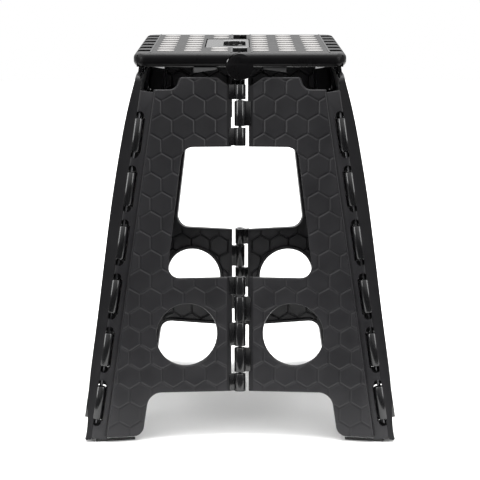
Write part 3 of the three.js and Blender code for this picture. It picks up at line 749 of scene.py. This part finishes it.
def barrel(low, high, side):
    """One barrel of the centre hinge, in the panel's own frame with Z up the axis."""
    length = (at_height(centre_floor, high) - at_height(centre_floor, low)).length
    bore = PIN_RADIUS + (RUNNING_GAP if side == "near" else PIVOT_PLAY)
    sleeve = plate([circle(0, 0, BARREL_RADIUS, 40), circle(0, 0, bore, 20, True)], 0, length, 0.7, 0.7)
    return union(sleeve, cut(barrel_arm(3.2, length), rod(-2, length + 2, bore, 0, 20)))


def hook(low, high):
    """The open barrel, which lets go of its pin while the stool folds."""
    length = (at_height(centre_floor, high) - at_height(centre_floor, low)).length
    whole = union(rod(0, length, BARREL_RADIUS, 0.7, 40), barrel_arm(3, length))
    reach = PIN_RADIUS + RUNNING_GAP
    return cut(whole, block(-9, reach, -reach, 9, -2, length + 2))


def panel_solids():
    """The right front panel's moulding and the hexagons on its face and on its back."""
    corners = panel_corners()
    hole = circle(*SPY_HOLE, 72, True)
    front = lambda s, t: -FACE_DEPTH
    floor = lambda s, t: -FACE_DEPTH - PANEL_SKIN
    skin = plate([outline(corners, 10), hole], back_depth, front, 0.8, 1.3, 4)
    pocket_corners = inset(corners, PANEL_FLANGE)
    ring = circle(SPY_HOLE[0], SPY_HOLE[1], SPY_HOLE[2] + PANEL_FLANGE, 72, True)
    pocket = plate([outline(pocket_corners, 10), ring], -60, floor)
    band = block(0, HINGE_BAND, 0, 400, -BAND_DEPTH, 5)
    body = cut(skin, pocket, band)
    tiled = inset(panel_corners(HINGE_BAND - 1), TILE_MARGIN)
    face_loops = [rounded(tiled, 10), hole(TILE_MARGIN)]
    face = tiles(face_loops, front, TILE_HEIGHT, 0.5, 0.15, 1.5)
    back_loops = [rounded(inset(corners, PANEL_FLANGE - 0.2), 10), ring(-0.2)]
    back = tiles(back_loops, floor, -0.7, 0.5, 0.8, 0.7)
    return body, face, back


def panel(side):
    """A panel with the near or the far side's barrels, as (shell, relief, barrels)."""
    body, face, back = panel_solids()
    relief = Solid().add(face).add(back).placed(panel_frame)
    shell = Solid().add(body.placed(panel_frame)).add(corner_strip())
    barrels = Solid()
    for low, high, owner in UPPER_BARRELS + LOWER_BARRELS:
        if owner != side:
            continue
        hooked = side == "far" and low > WINDOW_TOP - 1
        sleeve = hook(low, high) if hooked else barrel(low, high, side)
        barrels.add(sleeve.placed(axis_frame(at_height(centre_floor, low), centre_up, face_along)))
    return shell, relief, barrels


def build_panels():
    made = {side: panel(side) for side in ("near", "far")}
    for (side, end), mirror in MIRRORS.items():
        kind = "near" if (side, end) in (("left", "front"), ("right", "rear")) else "far"
        shell, relief, barrels = made[kind]
        node, body = f"{end}_panel_{side}", f"{end}_{side}"
        piece(node, shell.placed(mirror), body, SATIN)
        piece(node + "_barrels", barrels.placed(mirror), body, GLOSSY, node)
        sheet = piece(node + "_tiles", relief.placed(mirror), body, SATIN, node, smooth=8)
        sheet.name = node + "_tiles"


# ------------------------------------------------------------------ leg panels


def leg_curve(shift, steps=6):
    """The leg's outer profile as (o, u) points, moved outwards by shift."""
    control = [Vector(p) for p in LEG_BULGE]
    control = [control[0] * 2 - control[1], *control, control[-1] * 2 - control[-2]]
    points = []
    for a, b, c, d in zip(control, control[1:], control[2:], control[3:]):
        for step in range(steps):
            t = step / steps
            bend, twist = 2 * a - 5 * b + 4 * c - d, 3 * b - a - 3 * c + d
            point = 0.5 * (2 * b + (c - a) * t + bend * t**2 + twist * t**3)
            points.append(Vector((point.x + shift, point.y)))
    points.append(Vector((control[-2].x + shift, control[-2].y)))
    return points


def leg_slice(shift, inner):
    """Everything between a plane at o = inner and the leg's outer profile."""
    points = [Vector((inner, LEG_BULGE[0][1])), *leg_curve(shift), Vector((inner, LEG_TOP))]
    return plate([lambda distance: points], -300, 300).placed(leg_side)


def leg_outline(top_radius=8):
    """The leg seen from the side, with the arch between its feet, as corners (y, u, radius)."""
    foot, low, high = LEG_FOOT_HALF, LEG_START, LEG_TOP
    low_edge, high_edge = (leg_half_depth(u) + LEG_EDGE for u in (low, high))
    arch = [(-foot, low, 0), (12 - foot, 44, 20), (foot - 12, 44, 20), (foot, low, 0)]
    sides = [(low_edge, low, 0), (high_edge, high, top_radius), (-high_edge, high, top_radius)]
    return [(-low_edge, low, 0), *arch, *sides]


def leg_window(margin):
    return plate([outline(inset(LEG_WINDOW, -margin), 8)], -10, 40).placed(leg_face)


def corner_sweeps():
    """The room that the panels' hinge strips need along the leg's front and rear edges."""
    made = []
    for mirror in (1, -1):
        flip = Matrix.Diagonal((1, mirror, 1, 1))
        low, high = flip @ at_height(corner_floor, -12), flip @ at_height(corner_floor, 395)
        frame_here = axis_frame(low, (high - low).normalized(), leg_out)
        made.append(rod(0, (high - low).length, CORNER_RADIUS + LEG_CLEARANCE, 0, 32).placed(frame_here))
    return made


def leg_shell():
    """The leg's moulded shell, open on its inner side, with cross ribs in the hollow."""
    corners = leg_outline()
    body = kept(leg_slice(0, LEG_LIP), plate([outline(corners, 8)], -5, 40).placed(leg_face))
    start, end = -30, LEG_TOP + 30
    low, high = (leg_half_depth(u) + LIP_START for u in (start, end))
    swing = [(-low, start, 0), (low, start, 0), (high, end, 0), (-high, end, 0)]
    body = cut(body, plate([outline(swing)], -20, LEG_INNER).placed(leg_face))
    walls = plate([outline(inset(corners, LEG_FLANGE), 8)], -10, 40).placed(leg_face)
    ribs = [block(-300, 300, u - RIB_HALF, u + RIB_HALF, -12, 50).placed(leg_face) for u in LEG_RIBS]
    hollow = cut(kept(leg_slice(-LEG_SKIN, -5), walls), leg_window(PANEL_FLANGE), *ribs)
    body = cut(body, hollow, leg_window(0), *corner_sweeps())
    return cut(body, block(-FAR, FAR, -FAR, FAR, -40, FOOT_Z))


def leg_knuckles():
    """The corner hinges' knuckles on the leg's front and rear edges, and those along its top."""
    made = Solid()
    half = KNUCKLE_LENGTH / 2
    bore = rod(-half - 1, half + 1, PIN_RADIUS + RUNNING_GAP, 0, 20)
    arm = block(1, 12.2, -1.6, KNUCKLE_RADIUS - 0.4, -half + 0.6, half - 0.6, 0, 0.5)
    knuckle = cut(union(rod(-half, half, KNUCKLE_SHOW, 1.6, 48), arm), bore)
    for mirror in (1, -1):
        flip = Matrix.Diagonal((1, mirror, 1, 1))
        for z in KNUCKLE_HEIGHTS:
            point = at_height(corner_floor, z)
            up = (at_height(corner_floor, z + 1) - point).normalized()
            made.add(knuckle.placed(flip @ axis_frame(point, up, leg_out)))
    half = LEG_KNUCKLE_WIDTH / 2
    reach = leg_axis_in_leg.z - LEG_TOP + 6
    arm = block(0.5, reach, leg_axis_in_leg.x - 8.4, leg_axis_in_leg.x - 4.4, -half, half, 0, 0.5)
    bore = rod(-half - 1, half + 1, PIN_RADIUS + RUNNING_GAP, 0, 20)
    knuckle = cut(union(rod(-half, half, LEG_KNUCKLE_RADIUS, 0.8, 36), arm), bore)
    for y in LEG_KNUCKLE_ROWS:
        made.add(knuckle.placed(axis_frame(Vector((leg_axis.x, y, leg_axis.z)), BACK, -leg_up)))
    return made


def build_legs():
    shell, knuckles = leg_shell(), leg_knuckles()
    for side in ("right", "left"):
        mirror = MIRRORS[(side, "front")]
        node, body = "leg_panel_" + side, "leg_" + side
        piece(node, shell.placed(mirror), body, INNER, bevel=1.3)
        piece(node + "_knuckles", knuckles.placed(mirror), body, GLOSSY, node)


# ------------------------------------------------------------------ platform

CENTRE_KNUCKLE_ENDS = [
    (-129, -108.6), (-108, -87.6), (-87, -66.6), (-66, -45.6),
    (45.6, 66), (66.6, 87), (87.6, 108), (108.6, 129),
]
PLATFORM_AXIS_Z = centre_joint["pos_m"][2] / MM


def platform_blank():
    """Both halves in one, with the rounded rim."""
    width, depth = PLATFORM_HALF_WIDTH, PLATFORM_HALF_DEPTH
    corners = rectangle(-width, width, -depth, depth, PLATFORM_CORNER)
    return plate([outline(corners, 8)], HEIGHT - PLATFORM_THICK, HEIGHT, BULLNOSE, BULLNOSE, 7)


def boss(sign, radius, play=0.0, edge=0.0):
    """The round hinge boss at the front (-1) or the rear (1), or the room that one needs."""
    ends = (sign * (PLATFORM_HALF_DEPTH - RIM_END), sign * (PLATFORM_HALF_DEPTH - BOSS_SET_BACK))
    return rod_y(0, PLATFORM_AXIS_Z, min(ends) - play, max(ends) + play, radius, edge, 72)


def centre_knuckles(first, bore):
    """Every second knuckle of the hinge between the halves."""
    wall = CENTRE_VALLEY + CENTRE_WALL
    made = Solid()
    for low, high in CENTRE_KNUCKLE_ENDS[first::2]:
        arm = block(1, wall - 0.4, low, high, PLATFORM_AXIS_Z + 0.3, PLATFORM_AXIS_Z + 5.2)
        sleeve = rod_y(0, PLATFORM_AXIS_Z, low, high, BARREL_RADIUS, 0.6, 40)
        made.add(cut(union(sleeve, arm), bore))
    return made


def slots():
    """The slots for the leg's knuckles along the outer edge of the deck."""
    under = HEIGHT - PLATFORM_THICK
    half = LEG_KNUCKLE_WIDTH / 2 + 1
    made = []
    for y in LEG_KNUCKLE_ROWS:
        through = block(SLOT_START, 107, y - half, y + half, under - 2, HEIGHT + 2)
        mouth = block(106, SLOT_END, y - half, y + half, under - 2, HEIGHT - SLOT_MOUTH)
        made.append(union(through, mouth))
    return made


def handle_room():
    """The recess in the right half for the handle's edge, open towards the centre."""
    end = HANDLE_HALF + 0.8
    return block(0, HANDLE_RIGHT + 0.6, -end, end, HEIGHT - HANDLE_THICK - 0.6, HEIGHT + 2)


def handle_pocket(body, wall):
    """The left half with the handle's pocket, the finger hole below it and the bore of its pins."""
    floor, end, edge = HEIGHT - HANDLE_THICK - 0.6, HANDLE_HALF + 0.8, -HANDLE_LEFT + 0.8
    finger_x, finger_y, under = -FINGER_LEFT + 1, FINGER_HALF + 1, HEIGHT - PLATFORM_THICK
    body = union(body, block(wall - 1, edge + 2, -end - 3, end + 3, floor - 4, HEIGHT - DECK_SKIN + 0.5))
    return cut(
        body,
        block(0, edge, -end, end, floor, HEIGHT + 2),
        block(0, finger_x, -finger_y, finger_y, under - 2, HEIGHT + 2),
        block(-HANDLE_AXIS_X - 4.9, edge, -end, end, HANDLE_AXIS_Z - 4.8, floor + 1),
        rod_y(-HANDLE_AXIS_X, HANDLE_AXIS_Z, -end - 7, end + 7, HANDLE_BORE, 0, 12),
    )


def dot_places(skip_handle):
    for x in DOT_COLUMNS:
        for row in range(DOT_ROWS):
            y = (row - (DOT_ROWS - 1) / 2) * DOT_PITCH
            if not (skip_handle and x < -HANDLE_LEFT and abs(y) < HANDLE_HALF + DOT_RADIUS):
                yield x, y


def platform(with_handle):
    """The right half, or the mirror image of the left half, which carries the handle."""
    under, skin = HEIGHT - PLATFORM_THICK, HEIGHT - DECK_SKIN
    wall = CENTRE_VALLEY + CENTRE_WALL
    inner_x, inner_y = PLATFORM_HALF_WIDTH - RIM_WALL, PLATFORM_HALF_DEPTH - RIM_WALL
    blank = platform_blank()
    body = kept(blank, block(CENTRE_VALLEY, FAR, -FAR, FAR, 0, FAR))
    hollow = [(wall, -inner_y, 2), (inner_x, -inner_y, 9), (inner_x, inner_y, 9), (wall, inner_y, 2)]
    rib_places = [y for y in DECK_RIBS if not with_handle or abs(y) > HANDLE_HALF - 5]
    ribs = [block(wall - 2, 94, y - RIB_HALF, y + RIB_HALF, under + 5, FAR) for y in rib_places]
    body = cut(body, cut(plate([outline(hollow, 6)], under - 5, skin), *ribs))
    outer = block(93, inner_x + 1, -inner_y, inner_y, under + 0.4, skin + 0.5)
    outer_y, end_y = PLATFORM_HALF_DEPTH, PLATFORM_HALF_DEPTH - RIM_END
    front_end = kept(blank, block(0.4, wall, -outer_y, -end_y, 0, FAR))
    rear_end = kept(blank, block(0.4, wall, end_y, outer_y, 0, FAR))
    own_boss = boss(1 if with_handle else -1, BOSS_RADIUS, edge=1.0)
    other_boss = boss(-1 if with_handle else 1, BOSS_RADIUS + 0.6, play=0.8)
    body = cut(union(body, outer, front_end), other_boss)
    body = union(body, *((rear_end, own_boss) if with_handle else (own_boss, rear_end)))
    length = PIN_HALF_LENGTH
    bore = rod_y(0, PLATFORM_AXIS_Z, -length, length, PIN_RADIUS + RUNNING_GAP, 0, 20)
    leg_bore = rod_y(leg_axis.x, leg_axis.z, -length, length, PIN_RADIUS + RUNNING_GAP, 0, 20)
    sockets = []
    for x, y in dot_places(with_handle):
        sockets.append(plate([circle(x, y, DOT_RADIUS + 0.3, 32)], skin - 1, HEIGHT + 2))
    body = cut(body, bore, leg_bore, *slots(), *sockets)
    body = handle_pocket(body, wall) if with_handle else cut(body, handle_room())
    return body, centre_knuckles(1 if with_handle else 0, bore)


def grip(skip_handle):
    """Round grip studs with softly domed tops."""
    made = Solid()
    base = HEIGHT - DECK_SKIN - 1.7
    for x, y in dot_places(skip_handle):
        stud = plate([circle(0, 0, DOT_RADIUS, 40)], base, HEIGHT + DOT_PROUD, 0.2, 0.5, 4)
        made.add(stud.placed(Matrix.Translation((x, y, 0))))
    return made


def deck_line(x, low, high):
    return block(x, x + LINE_WIDTH, low, high, HEIGHT - 0.6, HEIGHT + LINE_PROUD, 0.5, 0.4)


def deck_trim(with_handle):
    """The raised lines along the centre hinge and beside the slots of the end hinge."""
    far, end = LINE_HALF_LENGTH, HANDLE_HALF + 2
    made = Solid().add(deck_line(91.4, -far, far))
    if not with_handle:
        return made.add(deck_line(CENTRE_VALLEY + 3.6, -far, far))
    for low, high in ((-far, -end), (end, far)):
        made.add(deck_line(CENTRE_VALLEY + 0.5, low, high))
    return made


def build_platform():
    for side, with_handle in (("right", False), ("left", True)):
        mirror = MIRRORS[(side, "front")]
        node = "platform_" + side
        body, knuckles = platform(with_handle)
        piece(node, body.placed(mirror), node, DECK, bevel=0.35)
        piece(node + "_knuckles", knuckles.placed(mirror), node, GLOSSY, node)
        piece(node + "_lines", deck_trim(with_handle).placed(mirror), node, GLOSSY, node)
        insert = "grip_insert_" + side
        piece(insert, grip(with_handle).placed(mirror), node, GRIP)


def build_handle():
    left, right, half = HANDLE_LEFT, HANDLE_RIGHT, HANDLE_HALF
    top = HEIGHT - 0.2
    outer = [(left, -half, 7), (right, -half, 5), (right, half, 5), (left, half, 7)]
    left, right, half = FINGER_LEFT, FINGER_RIGHT, FINGER_HALF
    hole = [(left, half, 10), (right, half, 10), (right, -half, 10), (left, -half, 10)]
    made = plate([outline(outer, 10), outline(hole, 10)], top - HANDLE_THICK, top, 1.0, 1.0, 4)
    bores = []
    for y in (HANDLE_HALF - 3, 3 - HANDLE_HALF):
        bores.append(rod_y(HANDLE_AXIS_X, HANDLE_AXIS_Z, y - 5, y + 5, HANDLE_BORE, 0, 16))
    piece("carry_handle", cut(made, *bores), "carry_handle", HANDLE)


# ------------------------------------------------------------------ pins, pads and stops


def pin_between(node, body, radius, steps=24):
    """A smooth round pin along a CAD pin's own long axis."""
    low, high = (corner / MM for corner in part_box(node))
    if node.startswith("corner_pin"):
        x = 1 if "right" in node else -1
        y = 1 if node.endswith("front") else -1
        start = at_height(corner_floor, 19)
        end = at_height(corner_floor, 340)
    elif "centre_pin" in node:
        x, y = 1, 1 if node.startswith("front") else -1
        heights = (304.5, 360) if node.endswith("upper") else (53, 166.4)
        start, end = (at_height(centre_floor, z) for z in heights)
    else:
        x = y = 1
        middle = (low + high) / 2
        start, end = Vector((middle.x, low.y, middle.z)), Vector((middle.x, high.y, middle.z))
    flip = Matrix.Diagonal((x, y, 1, 1))
    up = (end - start).normalized()
    towards = RIGHT if abs(up.x) < 0.9 else UP
    solid = rod(0, (end - start).length, radius, 0.35, steps).placed(flip @ axis_frame(start, up, towards))
    piece(node, solid, body, SHADE_DARKENED_STEEL)


def build_pins():
    for node, made in frame["nodes"].items():
        if "_pin_" in node:
            pin_between(node, made["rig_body"], 1.1 if node.startswith("handle") else PIN_RADIUS)


def build_pads():
    """Rubber feet, each a little smaller than its CAD pad's own slanting footprint."""
    for node, made in frame["nodes"].items():
        if "_pad_" in node:
            low, high = (corner.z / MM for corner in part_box(node))
            piece(node, pad_from(made, low, high), made["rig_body"], RUBBER)


def pad_from(node_object, low, high):
    """The CAD pad's bottom outline as a plate with rounded corners and edges."""
    floor_points = [v.co.xy / MM for v in node_object.data.vertices if v.co.z / MM < low + 0.05]
    unique = []
    for point in floor_points:
        if all((point - other).length > 0.05 for other in unique):
            unique.append(point)
    middle = sum(unique, Vector((0, 0))) / len(unique)
    unique.sort(key=lambda p: math.atan2(p.y - middle.y, p.x - middle.x))
    corners = [(*(middle + (p - middle) * PAD_SHARE), 1.0) for p in unique]
    return plate([outline(corners, 4)], low, high, 0.5, 0.2, 2)


def build_stops():
    """Stops whose undersides slope up towards the middle of the stool."""
    for node, made in frame["nodes"].items():
        if not node.startswith("panel_stop"):
            continue
        low, high = (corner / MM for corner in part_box(node))
        inner, outer = sorted((low.x, high.x), key=abs)
        slope = lambda x, y: low.z + STOP_WEDGE * (outer - x) / (outer - inner)
        shape = outline(rectangle(low.x, high.x, low.y, high.y, 1.2), 4)
        piece(node, plate([shape], slope, high.z, 0.6, 0.1, 3), made["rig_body"], STOP)


build_panels()
build_legs()
build_platform()
build_handle()
build_pins()
build_pads()
build_stops()

# ------------------------------------------------------------------ studio (metres)

FLOOR_RADIUS = 2.2
FLOOR_FRONT = 0.38
BEHIND_LOW, BEHIND_HIGH = 0.5, 2.8
FRONT_LOW, FRONT_HIGH = 0.08, 1.1
LENS = 141.8
CAMERA_PLACE = (0, -2.090, 0.548)
CAMERA_PITCH = math.radians(10)


def studio_floor():
    """A pale floor that reaches far behind the stool and ends a little in front of it."""
    mesh = bpy.data.meshes.new("studio_floor")
    form = bmesh.new()
    bmesh.ops.create_circle(form, cap_ends=True, radius=FLOOR_RADIUS, segments=96)
    form.to_mesh(mesh)
    form.free()
    floor = bpy.data.objects.new("studio_floor", mesh)
    floor.location = (0, FLOOR_RADIUS - FLOOR_FRONT, 0)
    bpy.context.scene.collection.objects.link(floor)
    material = bpy.data.materials.new("pale floor")
    material.use_nodes = True
    nodes, links = material.node_tree.nodes, material.node_tree.links
    shader = nodes["Principled BSDF"]
    shader.inputs["Roughness"].default_value = 0.8
    shader.inputs["Specular IOR Level"].default_value = 0.15
    noise = nodes.new("ShaderNodeTexNoise")
    noise.inputs["Scale"].default_value = 3
    place = nodes.new("ShaderNodeTexCoord")
    links.new(place.outputs["Object"], noise.inputs["Vector"])
    tint = nodes.new("ShaderNodeValToRGB")
    tint.color_ramp.elements[0].color = (0.87, 0.87, 0.865, 1)
    tint.color_ramp.elements[1].color = (0.90, 0.90, 0.895, 1)
    links.new(noise.outputs["Fac"], tint.inputs["Fac"])
    links.new(tint.outputs["Color"], shader.inputs["Base Color"])
    floor.data.materials.append(material)


def soft_light(name, place, target, width, height, power):
    light = bpy.data.lights.new(name, "AREA")
    light.shape = "RECTANGLE"
    light.size, light.size_y = width, height
    light.energy = power
    made = bpy.data.objects.new(name, light)
    made.location = place
    made.rotation_euler = (Vector(target) - Vector(place)).to_track_quat("-Z", "Y").to_euler()
    bpy.context.scene.collection.objects.link(made)


def studio_world():
    """Surroundings that are brightest high up and darkest in front of the stool, below the horizon.
    The picture's own background stays white.
    """
    world = bpy.data.worlds.new("studio")
    world.use_nodes = True
    bpy.context.scene.world = world
    nodes, links = world.node_tree.nodes, world.node_tree.links
    background = nodes["Background"]
    background.inputs["Color"].default_value = (1, 1, 1, 1)
    place = nodes.new("ShaderNodeTexCoord")
    parts = nodes.new("ShaderNodeSeparateXYZ")
    links.new(place.outputs["Generated"], parts.inputs["Vector"])

    def ramp(source, low, high, to_low, to_high):
        node = nodes.new("ShaderNodeMapRange")
        node.interpolation_type = "SMOOTHSTEP"
        for name, value in (("From Min", low), ("From Max", high), ("To Min", to_low), ("To Max", to_high)):
            node.inputs[name].default_value = value
        links.new(source, node.inputs["Value"])
        return node.outputs["Result"]

    front = ramp(parts.outputs["Y"], -0.75, -0.05, 1, 0)
    height = ramp(parts.outputs["Z"], -0.05, 0.55, FRONT_LOW, FRONT_HIGH)
    behind = ramp(parts.outputs["Z"], 0.15, 0.6, BEHIND_LOW, BEHIND_HIGH)
    mix = nodes.new("ShaderNodeMix")
    links.new(behind, mix.inputs["A"])
    links.new(front, mix.inputs["Factor"])
    links.new(height, mix.inputs["B"])
    backdrop = nodes.new("ShaderNodeMix")
    backdrop.inputs["B"].default_value = 1
    path = nodes.new("ShaderNodeLightPath")
    links.new(path.outputs["Is Camera Ray"], backdrop.inputs["Factor"])
    links.new(mix.outputs["Result"], backdrop.inputs["A"])
    links.new(backdrop.outputs["Result"], background.inputs["Strength"])


def camera():
    data = bpy.data.cameras.new("camera")
    data.sensor_width = 36
    data.lens = LENS
    made = bpy.data.objects.new("camera", data)
    made.location = CAMERA_PLACE
    made.rotation_euler = (math.pi / 2 - CAMERA_PITCH, 0, 0)
    bpy.context.scene.collection.objects.link(made)
    bpy.context.scene.camera = made


studio_floor()
studio_world()
soft_light("left", (-1.4, -1.1, 0.75), (0, 0, 0.32), 0.5, 0.9, 9)
soft_light("right", (1.4, -1.1, 0.75), (0, 0, 0.32), 0.5, 0.9, 8)
soft_light("top", (0, 0.2, 2.2), (0, 0, 0), 1.6, 1.6, 47)
camera()
bpy.context.scene.view_settings.view_transform = "Standard"
